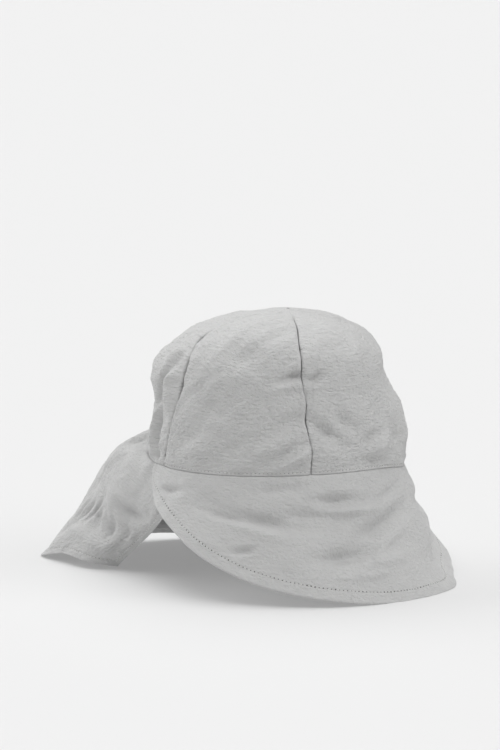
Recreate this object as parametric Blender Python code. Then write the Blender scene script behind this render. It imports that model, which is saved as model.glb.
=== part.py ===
"""A child's legionnaire cap of thin crinkled cloth: a crown of five panels, a soft brim round the
front and sides, and a neck flap that trails behind. It stands as a soft hat does by itself, on the
front of the brim's hem and the end of the flap.

Metres, +Z up, with the table at Z = 0. The hat faces -Y and its right side is -X. Azimuths are in
degrees from the front, positive towards the hat's right side and 180 at the back. The origin is on
the table, under the middle of the hat's box."""

from math import pi

import bpy
import numpy as np

# Driving sizes
HEAD_GIRTH = 0.500  # round the seam where the crown meets the brim
RIM_HEIGHT = 0.073  # that seam above the table, at the sides
CROWN_RISE = 0.0925  # from the seam to the crown's top
CROWN_LEAN = 0.0075  # how far the slack crown leans forward at its top
BRIM_FLARE = 0.038  # how far the front hem stands out past the seam
BRIM_HOLLOW = 0.0025  # how far the front of the brim sinks in halfway down
FLAP_TRAIL = 0.068  # how far the flap's end lies behind the seam
FLAP_SPREAD = 0.060  # half the width of the flap's end
CLOTH = 0.0012  # one layer with its turnings
BRIM_CLOTH = 0.0020  # two layers and a soft interlining
SEAM_GAP = 0.0003  # between pieces that are sewn together
SEAM_GROOVE = 0.0012  # how deep a panel's edge sinks into its seam
CROWN_TIP = 0.0012  # radius at the top where the panels' tips end
RIB_LEAD = 0.40  # share of a flap rib's length over which it holds its slope at the seam
RIB_RUNOUT = 0.36  # the same at the hem
FOLD_OUT = 0.8  # a fold of the flap moves the cloth this much level
FOLD_UP = 0.6  # and this much upright

# Arcs of the pattern, in degrees round the seam
FRONT_PANEL = 71
SIDE_PANEL = 79
BRIM_END = 121  # from the front to each end of the brim
FLAP_TUCK = 22  # how far the flap runs forward under each end of the brim
CROWN_TWIST = 6  # how far the slack crown turns at its top
LEAN_AZIMUTH = -37
GROOVE_WIDTH = 5

# Faces along each piece
PANEL_COLUMNS = 12
CROWN_ROWS = 16
BRIM_COLUMNS = 54
BRIM_ROWS = 9
FLAP_COLUMNS = 44
FLAP_ROWS = 15

RIM_RADIUS = HEAD_GIRTH / (2 * pi)
FLAP_START = BRIM_END - FLAP_TUCK

# The seam round the head. Reach is a share of RIM_RADIUS, height of RIM_HEIGHT.
RIM = np.array(
    [
        (-135, 0.98, 1.05),
        (-90, 0.99, 1.00),
        (-37, 1.00, 0.93),
        (0, 1.01, 1.01),
        (37, 1.00, 1.02),
        (90, 1.01, 1.01),
        (135, 0.98, 1.02),
        (180, 0.96, 1.10),
    ],
    dtype=[("azimuth", float), ("reach", float), ("height", float)],
)

# The crown's upright outline from the seam, along 0, to the top, along 1. Rise is a share of
# CROWN_RISE, reach of the seam's radius.
CROWN_PROFILE = np.array(
    [
        (0.00, 0.00, 1.00),
        (0.14, 0.17, 1.00),
        (0.28, 0.34, 0.96),
        (0.41, 0.50, 0.92),
        (0.53, 0.64, 0.88),
        (0.64, 0.76, 0.80),
        (0.73, 0.85, 0.68),
        (0.82, 0.92, 0.51),
        (0.91, 0.97, 0.28),
        (1.00, 1.00, 0.00),
    ],
    dtype=[("along", float), ("rise", float), ("reach", float)],
)

# Where the slack cloth of the crown sinks in, or swells out where the depth is negative. Rise and
# tall are shares of CROWN_RISE, depth of RIM_RADIUS.
CROWN_DENTS = np.array(
    [
        (145, 0.62, 28, 0.22, -0.10),
        (150, 0.20, 24, 0.12, 0.03),
        (-40, 0.88, 34, 0.13, 0.08),
        (-37, 0.60, 28, 0.15, 0.10),
        (-37, 0.28, 26, 0.14, -0.03),
        (38, 0.55, 16, 0.10, 0.025),
    ],
    dtype=[("azimuth", float), ("rise", float), ("wide", float), ("tall", float), ("depth", float)],
)

# The brim's hem. Out is a share of BRIM_FLARE past the seam, height of RIM_HEIGHT.
BRIM_HEM = np.array(
    [
        (-121, 0.14, 0.81),
        (-112, 0.24, 0.77),
        (-97, 0.38, 0.63),
        (-79, 0.59, 0.41),
        (-60, 0.73, 0.22),
        (-45, 0.80, 0.12),
        (-30, 0.87, 0.04),
        (-15, 1.03, 0.00),
        (0, 1.02, 0.00),
        (12, 0.97, 0.00),
        (30, 0.93, 0.05),
        (45, 0.85, 0.12),
        (60, 0.75, 0.22),
        (79, 0.59, 0.41),
        (97, 0.38, 0.63),
        (112, 0.24, 0.77),
        (121, 0.14, 0.81),
    ],
    dtype=[("azimuth", float), ("out", float), ("height", float)],
)

# Where the brim sinks in, or swells out where the depth is negative. Down is a share of the way
# from the seam to the hem, depth a share of BRIM_FLARE.
BRIM_DENTS = np.array(
    [
        (-30, 0.80, 20, 0.18, 0.24),
        (-2, 0.55, 9, 0.40, 0.06),
        (28, 0.45, 16, 0.16, 0.07),
        (52, 0.62, 18, 0.22, -0.05),
        (78, 0.38, 12, 0.24, 0.05),
        (-75, 0.50, 16, 0.24, 0.05),
    ],
    dtype=[("azimuth", float), ("down", float), ("wide", float), ("tall", float), ("depth", float)],
)

# Ribs of the flap from its right front edge round the back to its left one. Along is how far round
# the seam the rib starts, from 0 to 1; behind is the hem's distance behind the seam's middle, as a
# share of RIM_RADIUS plus FLAP_TRAIL; aside is a share of FLAP_SPREAD towards the right; height is
# a share of RIM_HEIGHT. Fall and land are the rib's slopes at its two ends, in degrees below level.
FLAP_RIBS = np.array(
    [
        (0.00, 0.56, 0.87, 0.03, 70, 38),
        (0.13, 0.67, 1.05, 0.07, 68, 40),
        (0.22, 0.81, 0.97, 0.09, 10, 40),
        (0.35, 1.00, 0.80, 0.01, -12, 38),
        (0.49, 1.01, 0.33, 0.05, -12, 38),
        (0.65, 0.94, -0.17, 0.08, -4, 42),
        (0.78, 0.85, -0.57, 0.07, 25, 42),
        (0.88, 0.73, -0.93, 0.05, 66, 40),
        (1.00, 0.58, -0.87, 0.00, 70, 38),
    ],
    dtype=[
        ("along", float),
        ("behind", float),
        ("aside", float),
        ("height", float),
        ("fall", float),
        ("land", float),
    ],
)

# Folds of the flap: valleys, or swellings where the depth is negative. Along and wide are shares of
# the way round the seam, down and tall of the way to the hem, depth of FLAP_TRAIL.
FLAP_FOLDS = np.array(
    [
        (0.33, 0.88, 0.10, 0.10, -0.06),
        (0.31, 0.50, 0.08, 0.26, 0.07),
        (0.20, 0.66, 0.05, 0.26, 0.08),
        (0.10, 0.52, 0.05, 0.16, 0.04),
        (0.60, 0.55, 0.06, 0.40, 0.07),
        (0.84, 0.60, 0.05, 0.34, 0.06),
    ],
    dtype=[("along", float), ("down", float), ("wide", float), ("tall", float), ("depth", float)],
)


def eased(table, key, column, at):
    """The smooth curve through a table's rows, read at the given places."""
    knots = table[key]
    values = table[column]
    slopes = np.gradient(values, knots)
    at = np.clip(at, knots[0], knots[-1])
    i = np.clip(np.searchsorted(knots, at) - 1, 0, len(knots) - 2)
    step = knots[i + 1] - knots[i]
    t = (at - knots[i]) / step
    start = (1 + 2 * t) * (1 - t) ** 2 * values[i] + t * (1 - t) ** 2 * step * slopes[i]
    end = t**2 * (3 - 2 * t) * values[i + 1] + t**2 * (t - 1) * step * slopes[i + 1]
    return start + end


def round_seam(column, azimuth):
    """The same for RIM, which closes on itself."""
    turned = [RIM.copy() for _ in range(3)]
    for turn, rows in zip((-360, 0, 360), turned):
        rows["azimuth"] += turn
    return eased(np.concatenate(turned), "azimuth", column, azimuth)


def outward(azimuth):
    """The level direction at an azimuth."""
    a = np.radians(azimuth)
    return np.stack([-np.sin(a), -np.cos(a), np.zeros_like(a)], axis=-1)


def upright(height):
    """A height as a point."""
    return np.stack([np.zeros_like(height), np.zeros_like(height), height], axis=-1)


def seam_radius(azimuth):
    return RIM_RADIUS * round_seam("reach", azimuth)


def seam_height(azimuth):
    return RIM_HEIGHT * round_seam("height", azimuth)


def apart(azimuth, other):
    """The angle between two azimuths, from -180 to 180."""
    return (azimuth - other + 180) % 360 - 180


def crown_surface(azimuth, along, seams):
    """The crown's outer face: the profile turned round the head, leaning and twisted towards its
    top, with dents, and sunk at the seams."""
    rise = eased(CROWN_PROFILE, "along", "rise", along)
    reach = seam_radius(azimuth) * eased(CROWN_PROFILE, "along", "reach", along)
    placed = azimuth + CROWN_TWIST * rise
    for dent in CROWN_DENTS:
        across = apart(placed, dent["azimuth"]) / dent["wide"]
        up = (rise - dent["rise"]) / dent["tall"]
        reach = reach - RIM_RADIUS * dent["depth"] * np.exp(-(across**2) - up**2)
    for seam in seams:
        near = apart(azimuth, seam) / GROOVE_WIDTH
        reach = reach - SEAM_GROOVE * np.exp(-(near**2)) * np.cos(along * pi / 2)
    reach = np.maximum(reach, CROWN_TIP)
    foot = seam_height(azimuth)
    height = foot + (RIM_HEIGHT + CROWN_RISE - foot) * rise
    lean = CROWN_LEAN * rise[..., None] ** 2 * outward(LEAN_AZIMUTH)
    return reach[..., None] * outward(placed) + lean + upright(height)


def brim_surface(azimuth, down):
    """The brim's outer face: from the seam to the hem, a little hollow between, with dents. The
    hollow runs out towards the brim's ends, which lie over the flap."""
    top = seam_radius(azimuth)
    head = seam_height(azimuth) - SEAM_GAP
    hem = top + BRIM_FLARE * eased(BRIM_HEM, "azimuth", "out", azimuth)
    foot = RIM_HEIGHT * eased(BRIM_HEM, "azimuth", "height", azimuth)
    hollow = BRIM_HOLLOW * np.cos(azimuth / BRIM_END * pi / 2)
    reach = top + (hem - top) * down - hollow * np.sin(pi * down)
    below_seam = np.sin(pi * np.minimum(down, 1 / 2))
    for dent in BRIM_DENTS:
        across = (azimuth - dent["azimuth"]) / dent["wide"]
        along = (down - dent["down"]) / dent["tall"]
        reach = reach - BRIM_FLARE * dent["depth"] * below_seam * np.exp(-(across**2) - along**2)
    return reach[..., None] * outward(azimuth) + upright(head + (foot - head) * down)


def flap_surface(along, down):
    """The flap's outer face: ribs that leave the seam at one slope and reach the hem at another,
    with folds between that fade out at both."""
    azimuth = FLAP_START + (360 - 2 * FLAP_START) * along
    past_brim = np.clip((abs(apart(azimuth, 0)) - BRIM_END) / GROOVE_WIDTH, 0, 1)
    tucked = BRIM_CLOTH + 2 * SEAM_GAP
    radius = seam_radius(azimuth) - tucked * (1 - past_brim**2 * (3 - 2 * past_brim))
    top = radius[..., None] * outward(azimuth) + upright(seam_height(azimuth) - SEAM_GAP)
    behind = (RIM_RADIUS + FLAP_TRAIL) * eased(FLAP_RIBS, "along", "behind", along)
    aside = FLAP_SPREAD * eased(FLAP_RIBS, "along", "aside", along)
    height = RIM_HEIGHT * eased(FLAP_RIBS, "along", "height", along)
    hem = np.stack([-aside, behind, height], axis=-1)
    run = hem - top
    length = np.linalg.norm(run, axis=-1, keepdims=True)
    level = run * (1, 1, 0)
    level = level / np.linalg.norm(level, axis=-1, keepdims=True)

    def slope(column):
        angle = np.radians(eased(FLAP_RIBS, "along", column, along))[..., None]
        return level * np.cos(angle) - upright(np.ones_like(along)) * np.sin(angle)

    first = top + slope("fall") * length * RIB_LEAD
    last = hem - slope("land") * length * RIB_RUNOUT
    t = down[..., None]
    ribs = (1 - t) ** 3 * top + 3 * t * (1 - t) ** 2 * first + 3 * t**2 * (1 - t) * last + t**3 * hem
    sunk = 0
    for fold in FLAP_FOLDS:
        across = (along - fold["along"]) / fold["wide"]
        up = (down - fold["down"]) / fold["tall"]
        sunk = sunk + FLAP_TRAIL * fold["depth"] * np.exp(-(across**2) - up**2)
    sunk = sunk * np.sin(pi * down)
    return ribs - FOLD_OUT * sunk[..., None] * outward(azimuth) - upright(FOLD_UP * sunk)


def grid(first, last, columns, rows):
    """Rows down a piece and columns across it, as two arrays of the same shape."""
    return np.meshgrid(np.linspace(first, last, columns + 1), np.linspace(0, 1, rows + 1))


def thick(points, wall):
    """A closed shell: the outer points, and the same points a wall's thickness inside them."""
    rows, columns = points.shape[:2]
    normal = np.cross(np.gradient(points, axis=1), np.gradient(points, axis=0))
    normal = normal / np.linalg.norm(normal, axis=-1, keepdims=True)
    inner = points - wall * normal
    vertices = np.concatenate([points.reshape(-1, 3), inner.reshape(-1, 3)])
    vertices[:, 2] = np.maximum(vertices[:, 2], 0)
    number = np.arange(rows * columns).reshape(rows, columns)
    quads = np.stack(
        [number[:-1, :-1], number[:-1, 1:], number[1:, 1:], number[1:, :-1]], axis=-1
    ).reshape(-1, 4)
    border = np.concatenate(
        [number[0, :-1], number[:-1, -1], number[-1, :0:-1], number[:0:-1, 0]]
    )
    after = np.roll(border, -1)
    inside = rows * columns
    rim = np.stack([after, border, border + inside, after + inside], axis=-1)
    return vertices, np.concatenate([quads, quads[:, ::-1] + inside, rim])


def cloth_material(name, colour):
    material = bpy.data.materials.new(name)
    material.use_nodes = True
    shader = material.node_tree.nodes["Principled BSDF"]
    shader.inputs["Base Color"].default_value = (*colour, 1)
    shader.inputs["Roughness"].default_value = 0.85
    shader.inputs["Metallic"].default_value = 0
    return material


def piece(name, solid, origin, material):
    """One sewn piece as a named object, placed by the hat's origin."""
    vertices, faces = solid
    mesh = bpy.data.meshes.new(name)
    mesh.from_pydata(vertices.tolist(), [], faces.tolist())
    mesh.materials.append(material)
    mesh.shade_smooth()
    mesh.set_sharp_from_angle(angle=pi / 4)
    made = bpy.data.objects.new(name, mesh)
    bpy.context.scene.collection.objects.link(made)
    made.parent = origin
    return made


def crown_panels():
    """The five panels between their seams, each a shell that stops half a gap from its seam."""
    half = FRONT_PANEL / 2
    rear = half + SIDE_PANEL
    edges = {
        "panel_front": (-half, half),
        "panel_right": (half, rear),
        "panel_rear_right": (rear, 180),
        "panel_rear_left": (180, 360 - rear),
        "panel_left": (-rear, -half),
    }
    seams = sorted({first for first, _ in edges.values()})
    solids = {}
    for name, (first, last) in edges.items():
        share, along = grid(0, 1, PANEL_COLUMNS, CROWN_ROWS)
        along = along[::-1]
        reach = np.linalg.norm(crown_surface(first + 0 * share, along, seams)[..., :2], axis=-1)
        margin = np.degrees(SEAM_GAP / 2 / reach)
        azimuth = first + margin + (last - first - 2 * margin) * share
        solids[name] = thick(crown_surface(azimuth, along, seams), CLOTH)
    return solids


def hat():
    solids = crown_panels()
    solids["brim"] = thick(brim_surface(*grid(-BRIM_END, BRIM_END, BRIM_COLUMNS, BRIM_ROWS)), BRIM_CLOTH)
    solids["neck_flap"] = thick(flap_surface(*grid(0, 1, FLAP_COLUMNS, FLAP_ROWS)), CLOTH)
    return solids


def main():
    for old in list(bpy.data.objects):
        bpy.data.objects.remove(old)
    solids = hat()
    corners = np.concatenate([vertices for vertices, _ in solids.values()])
    middle = (corners.min(axis=0) + corners.max(axis=0)) / 2
    origin = bpy.data.objects.new("hat_origin", None)
    bpy.context.scene.collection.objects.link(origin)
    origin.location = (-middle[0], -middle[1], 0)
    cloth = cloth_material("grey_cloth", (0.43, 0.43, 0.42))
    for name, solid in solids.items():
        piece(name, solid, origin, cloth)


main()
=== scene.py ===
"""The looks of a child's legionnaire cap: five crown panels, a brim and a neck flap of thin
crinkled cloth, with their seams, stitched hems and soft folds.

Metres, +Z up, the table at Z = 0. The cloth is worked out in the hat's own frame, whose upright
axis runs through the head: it faces -Y, its right side is -X, and azimuths are in degrees from the
front, positive towards the hat's right and 180 at the back. Each finished piece is then moved to
where the frame holds its solid."""

from math import atan, cos, pi, radians, sin

import bpy
import numpy as np
from mathutils import Matrix, Vector


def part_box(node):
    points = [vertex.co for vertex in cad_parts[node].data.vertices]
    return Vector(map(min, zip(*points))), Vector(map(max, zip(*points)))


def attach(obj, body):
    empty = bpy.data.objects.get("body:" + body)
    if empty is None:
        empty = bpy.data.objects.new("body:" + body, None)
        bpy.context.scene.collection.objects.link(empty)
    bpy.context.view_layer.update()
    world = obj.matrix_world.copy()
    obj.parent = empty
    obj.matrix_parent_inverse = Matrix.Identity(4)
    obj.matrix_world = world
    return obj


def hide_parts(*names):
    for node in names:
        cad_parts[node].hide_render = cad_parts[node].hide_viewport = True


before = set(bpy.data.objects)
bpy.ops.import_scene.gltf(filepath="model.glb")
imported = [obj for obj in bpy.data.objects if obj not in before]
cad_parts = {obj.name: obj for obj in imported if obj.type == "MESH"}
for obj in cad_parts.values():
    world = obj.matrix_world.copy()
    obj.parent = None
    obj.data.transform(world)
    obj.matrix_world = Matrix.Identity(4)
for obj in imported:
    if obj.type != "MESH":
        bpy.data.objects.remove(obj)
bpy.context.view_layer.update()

# Sizes of the hat, as its solids have them, with angles in degrees
HEAD_GIRTH = 0.500  # round the seam between the crown and the brim
RIM_HEIGHT = 0.073  # of that seam above the table
CROWN_RISE = 0.0925  # from the seam to the top
CROWN_LEAN = 0.0075  # how far the top leans
LEAN_AZIMUTH = -37
CROWN_TWIST = 6
BRIM_FLARE = 0.038  # from the seam out to the brim's front hem
BRIM_HOLLOW = 0.0025  # how far the brim sinks between the two
BRIM_CLOTH = 0.0020
FLAP_TRAIL = 0.068  # from the head back to the flap's hem
FLAP_SPREAD = 0.060  # half the width of the flap's hem
FRONT_PANEL = 71
SIDE_PANEL = 79
BRIM_END = 121
FLAP_TUCK = 22  # how far the flap runs on under the brim
RIB_LEAD = 0.40  # how far a flap rib keeps its first slope, as a share of its length
RIB_RUNOUT = 0.36  # and its last
FOLD_OUT = 0.8  # how much of a flap fold's depth goes level
FOLD_UP = 0.6  # and how much goes down
RIM_RADIUS = HEAD_GIRTH / (2 * pi)
FLAP_START = BRIM_END - FLAP_TUCK

# The cloth itself, thinner than the solids' walls
CLOTH = 0.0009
PANEL_LENGTH = 0.141  # of a crown panel, from seam to tip
BRIM_LENGTH = 0.083  # of the brim at the front, from seam to hem
FLAP_WIDTH = 0.222
FLAP_LENGTH = 0.106
CROWN_TIP = 0.0006  # radius at the top where the panels' tips end
TOP_SLUMP = 0.0012  # how far the crown's top sags in a ring round its tip
SLUMP_RADIUS = 0.030
SLUMP_SPREAD = 0.018
TIP_SINK = 0.0013  # and right at its tip
TIP_SPREAD = 0.016
NEAR_TIP = 0.975  # share of a panel's way up where its slope is last read
PLAIN_TOP = 0.035  # radius inside which the crown's small forms fade out
PLAIN_TIP = 0.010  # radius inside which all that is sunk fades to TIP_SHARE
TIP_SHARE = 0.25
CLOSED_TOP = 0.006  # radius inside which the seams' slits close
CRINKLE = 0.00070  # height of the small wrinkles
BRIM_CRINKLE = 0.35  # shares of that height, and of ROLL, where the cloth lies flatter
FLAP_CRINKLE = 0.6
BRIM_ROLL = 0.7
PANEL_WRINKLE = (0.0075, 0.0030)  # length and width of the small wrinkles
BRIM_WRINKLE = (0.0080, 0.0034)
FLAP_WRINKLE = (0.0110, 0.0036)
FLAT_HEM = 0.2  # share of the small wrinkles left on a hem
FLAT_ROLL = 0.3  # and of the flap's broad unevenness
ROLL = 0.0011  # height of the broad unevenness
ROLL_LONG = 0.040
ROLL_WIDE = 0.020

# The small steps over which a form's slope is read: in degrees, in shares round the flap and in
# shares down the cloth
TURN_STEP = 0.3
ROUND_STEP = 0.002
DOWN_STEP = 0.003

# Seams and hems
SEAM_GAP = 0.00012  # between the crown's edge and the brim's or the flap's
ALLOWANCE = 0.0035  # cloth turned in behind a seam
TUCK_RISE = 0.2  # of the brim's turned-in cloth, for each metre inwards
TURNED = 0.03  # how far past 0 and 1 a parameter runs over the turned cloth
SEAM_SINK = 0.0007  # how deep a panel's edge rounds into its seam
SEAM_TURN = 0.0006  # how far from the seam it starts to
SEAM_PUFF = 0.0007  # the broad hollow along a seam
SEAM_SPREAD = 0.006
SEAM_WANDER = 0.25  # how far a crown seam wavers, in degrees
LEAST_SLIT = 0.00003
BRIM_SEAM_SINK = 0.0004
BRIM_SEAM_TURN = 0.0004
PINNED = 0.0035  # how far a seam holds the cloth flat
PUCKER = 0.00030
PUCKER_PITCH = 0.0052
PUCKER_REACH = 0.007
HEM_PUCKER = 0.6  # share of a pucker along a hem
BRIM_HEM_BAND = 0.0065  # from the brim's edge to its stitches
BRIM_END_BAND = 0.0045
FLAP_HEM_BAND = 0.0055
HEM_LIFT = 0.00035  # how much the flap's turned hem stands out
HEM_STEP = 0.0004
END_TUCK = 0.0045  # how far the hem's two ends draw in
END_TUCK_SPREAD = 0.022
SEAM_STITCH_OFF = 0.0020  # stitches above the brim seam
STITCH_START = 0.012  # share of a seam before its first stitch and after its last
STITCH_PITCH = 0.0025
STITCH_LENGTH = 0.0018
STITCH_RISE = 0.00014  # of a stitch's middle line above the cloth
STITCH_DIP = 0.00030  # how far its ends go down from there
STITCH_RINGS = 7
STITCH_SIDES = 6
LINE_STEPS = 1500  # points read along a line of stitches
RIBBON = 0.001  # how far to its sides the cloth is read too, in the face's parameters
STITCH_SINK = 0.00045
STITCH_HOLLOW = 0.0008
THREAD = 0.00050
TWIST_PITCH = 0.00025  # between the ridges of the thread's twist
# The needle holes are low cones whose dark grey is painted shade
SEAM_HOLE = 0.00022  # radii of the needle holes
BRIM_HOLE = 0.00043
FLAP_HOLE = 0.00015
HOLE_RIM = 0.00004  # how far a hole's rim and middle stand above the stitched hollow
HOLE_TOP = 0.00022
WEAVE_PITCH = 0.00045  # between the threads of the cloth
RIDGE = 0.00005  # height of the weave and of the thread's twist
CLOUDS = (60, 110, 1)  # faint clouds to a metre of cloth, across and up
FINE_WRINKLES = (360, 560, 1)
BANDS = 20 / (2 * pi)  # of a wave texture, for each unit of its scale and place

# How many steps a piece's grid has across and down, and how much closer they get at both ends
PANEL_GRID = ((180, 0.5), (220, 0.3))
BRIM_GRID = ((600, 0.1), (110, 0.4))
FLAP_GRID = ((330, 0.2), (160, 0.3))
TURNED_COLUMNS = 5  # over the cloth turned in at a side
TURNED_ROWS = 6  # and at an upper or lower edge

# The camera, fitted to the photo's 500 x 750 pixels
CAMERA_AZIMUTH = -52.5  # from -Y towards +X, so this is on the hat's right
CAMERA_ELEVATION = 10
CAMERA_DISTANCE = 3.0
AIM_HEIGHT = 0.07
PIXELS_A_METRE = 1630
AIM_PIXEL = (275.5, 460.3)
PHOTO_PIXELS = (500, 750)

# The table's grey and its own light, which together give the photo's even white
TABLE_GREY = 0.557
TABLE_GLOW = 0.230
TABLE_REACH = 60
LOWEST = 0.0001  # no cloth lies lower, so that it stays clear of the table


def with_columns(columns, *rows):
    """A table of numbers with named columns."""
    return np.array(list(rows), dtype=[(column, float) for column in columns.split()])


# The seam round the head, as shares of RIM_RADIUS and RIM_HEIGHT
RIM = with_columns(
    "azimuth reach height",
    (-135, 0.98, 1.05),
    (-90, 0.99, 1.00),
    (-37, 1.00, 0.93),
    (0, 1.01, 1.01),
    (37, 1.00, 1.02),
    (90, 1.01, 1.01),
    (135, 0.98, 1.02),
    (180, 0.96, 1.10),
)

# The crown's side: along is the share of the way up the cloth, rise and reach are shares of the
# crown's height and of the seam's radius
CROWN_PROFILE = with_columns(
    "along rise reach",
    (0.00, 0.00, 1.00),
    (0.14, 0.17, 1.00),
    (0.28, 0.34, 0.96),
    (0.41, 0.50, 0.92),
    (0.53, 0.64, 0.88),
    (0.64, 0.76, 0.80),
    (0.73, 0.85, 0.68),
    (0.82, 0.92, 0.51),
    (0.91, 0.97, 0.28),
    (1.00, 1.00, 0.00),
)

# Dents of the crown, in degrees across, shares of its height up and shares of RIM_RADIUS deep. One
# with a negative depth stands out, here and in the tables below.
CROWN_DENTS = with_columns(
    "azimuth rise wide tall depth",
    (145, 0.62, 28, 0.22, -0.10),
    (150, 0.20, 24, 0.12, 0.03),
    (-40, 0.88, 34, 0.13, 0.08),
    (-37, 0.60, 28, 0.15, 0.10),
    (-37, 0.28, 26, 0.14, -0.03),
    (38, 0.55, 16, 0.10, 0.025),
)

# The brim's hem: out is a share of BRIM_FLARE and height one of RIM_HEIGHT
BRIM_HEM = with_columns(
    "azimuth out height",
    (-121, 0.14, 0.81),
    (-112, 0.24, 0.77),
    (-97, 0.38, 0.63),
    (-79, 0.59, 0.41),
    (-60, 0.73, 0.22),
    (-45, 0.80, 0.12),
    (-30, 0.87, 0.04),
    (-15, 1.03, 0.00),
    (0, 1.02, 0.00),
    (12, 0.97, 0.00),
    (30, 0.93, 0.05),
    (45, 0.85, 0.12),
    (60, 0.75, 0.22),
    (79, 0.59, 0.41),
    (97, 0.38, 0.63),
    (112, 0.24, 0.77),
    (121, 0.14, 0.81),
)

# Dents of the brim, in degrees across, shares of the way to the hem down and shares of BRIM_FLARE
# deep
BRIM_DENTS = with_columns(
    "azimuth down wide tall depth",
    (-30, 0.80, 20, 0.18, 0.24),
    (-2, 0.55, 9, 0.40, 0.06),
    (28, 0.45, 16, 0.16, 0.07),
    (52, 0.62, 18, 0.22, -0.05),
    (78, 0.38, 12, 0.24, 0.05),
    (-75, 0.50, 16, 0.24, 0.05),
)

# Lines down the flap: along is the share of the way round. Each ends on the hem at shares of the
# seam's radius with FLAP_TRAIL, of FLAP_SPREAD and of RIM_HEIGHT, and slopes down by fall degrees
# at the seam and by land degrees at the hem.
FLAP_RIBS = with_columns(
    "along behind aside height fall land",
    (0.00, 0.56, 0.87, 0.03, 70, 38),
    (0.13, 0.67, 1.05, 0.07, 68, 40),
    (0.22, 0.81, 0.97, 0.09, 10, 40),
    (0.35, 1.00, 0.80, 0.01, -12, 38),
    (0.49, 1.01, 0.33, 0.05, -12, 38),
    (0.65, 0.94, -0.17, 0.08, -4, 42),
    (0.78, 0.85, -0.57, 0.07, 25, 42),
    (0.88, 0.73, -0.93, 0.05, 66, 40),
    (1.00, 0.58, -0.87, 0.00, 70, 38),
)

# Broad folds of the flap, in shares of its width and length and shares of FLAP_TRAIL deep
FLAP_FOLDS = with_columns(
    "along down wide tall depth",
    (0.33, 0.88, 0.10, 0.10, -0.06),
    (0.31, 0.50, 0.08, 0.26, 0.07),
    (0.20, 0.66, 0.05, 0.26, 0.08),
    (0.10, 0.52, 0.05, 0.16, 0.04),
    (0.60, 0.55, 0.06, 0.40, 0.07),
    (0.84, 0.60, 0.05, 0.34, 0.06),
)

# The crown's seams, from the brim up: how far each strays from straight, in degrees towards the
# back, and half the width of the slit between its two edges
FRONT_SEAMS = with_columns(
    "rise stray slit",
    (0.00, 0.8, 0.00022),
    (0.16, 0.2, 0.00020),
    (0.24, 0.4, 0.00012),
    (0.34, 0.8, 0.00034),
    (0.44, 0.5, 0.00030),
    (0.50, 0.7, 0.00012),
    (0.58, 1.8, 0.00026),
    (0.74, 2.0, 0.00030),
    (0.88, 2.2, 0.00036),
    (0.95, 0.5, 0.00016),
    (0.98, 0.0, 0.00004),
    (1.00, 0.0, 0.00000),
)
SIDE_SEAMS = with_columns(
    "rise stray slit",
    (0.00, -3.0, 0.00012),
    (0.06, -4.2, 0.00020),
    (0.22, -7.6, 0.00030),
    (0.28, -8.6, 0.00011),
    (0.44, -10.9, 0.00011),
    (0.50, -11.6, 0.00100),
    (0.62, -11.9, 0.00110),
    (0.69, -10.8, 0.00085),
    (0.74, -9.4, 0.00011),
    (0.80, -6.0, 0.00014),
    (0.84, -3.8, 0.00110),
    (0.88, -3.0, 0.00007),
    (1.00, 0.0, 0.00000),
)

# Smaller folds than the solids hold. The first two columns place a fold on its piece, turn is its
# direction in degrees from level, and long, wide and depth are lengths on the cloth.
# Here x is an azimuth and y the share of the way from the seam to the top.
CROWN_CREASES = with_columns(
    "x y turn long wide depth",
    (44, 0.635, -20, 0.011, 0.0030, 0.0040),
    (40, 0.640, 15, 0.006, 0.0028, 0.0028),
    (45, 0.575, -6, 0.012, 0.0034, -0.0024),
    (31, 0.625, -36, 0.008, 0.0034, 0.0048),
    (31, 0.570, -30, 0.007, 0.0028, -0.0025),
    (46, 0.320, -35, 0.014, 0.0062, 0.0058),
    (50, 0.235, -38, 0.016, 0.0050, -0.0034),
    (44, 0.165, -26, 0.016, 0.0044, 0.0034),
    (43, 0.115, -26, 0.014, 0.0026, -0.0034),
    (27, 0.270, 32, 0.016, 0.0052, 0.0060),
    (18, 0.330, 40, 0.010, 0.0050, 0.0037),
    (0, 0.130, -15, 0.010, 0.0040, -0.0031),
    (4, 0.080, -15, 0.010, 0.0035, 0.0031),
    (-14, 0.220, 60, 0.010, 0.0050, 0.0031),
    (5, 0.225, -20, 0.009, 0.0032, 0.0034),
    (-2, 0.200, -30, 0.010, 0.0034, -0.0030),
    (70, 0.880, 8, 0.024, 0.0080, -0.0034),
    (68, 0.760, 14, 0.018, 0.0080, 0.0034),
    (80, 0.420, 25, 0.012, 0.0050, 0.0022),
    (72, 0.180, -50, 0.018, 0.0060, 0.0028),
    (90, 0.260, -35, 0.018, 0.0060, 0.0025),
    (119, 0.520, -54, 0.016, 0.0040, 0.0087),
    (113, 0.560, 70, 0.020, 0.0060, -0.0047),
    (118, 0.200, 90, 0.018, 0.0028, 0.0053),
    (123, 0.200, 90, 0.018, 0.0026, -0.0034),
    (150, 0.450, 20, 0.020, 0.0060, 0.0045),
    (-155, 0.350, -25, 0.018, 0.0060, 0.0050),
    (-70, 0.600, 30, 0.016, 0.0060, 0.0045),
    (-95, 0.300, -20, 0.020, 0.0070, 0.0050),
    (-52, 0.200, 15, 0.016, 0.0050, 0.0045),
    (-130, 0.700, 35, 0.018, 0.0060, 0.0045),
)

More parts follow.
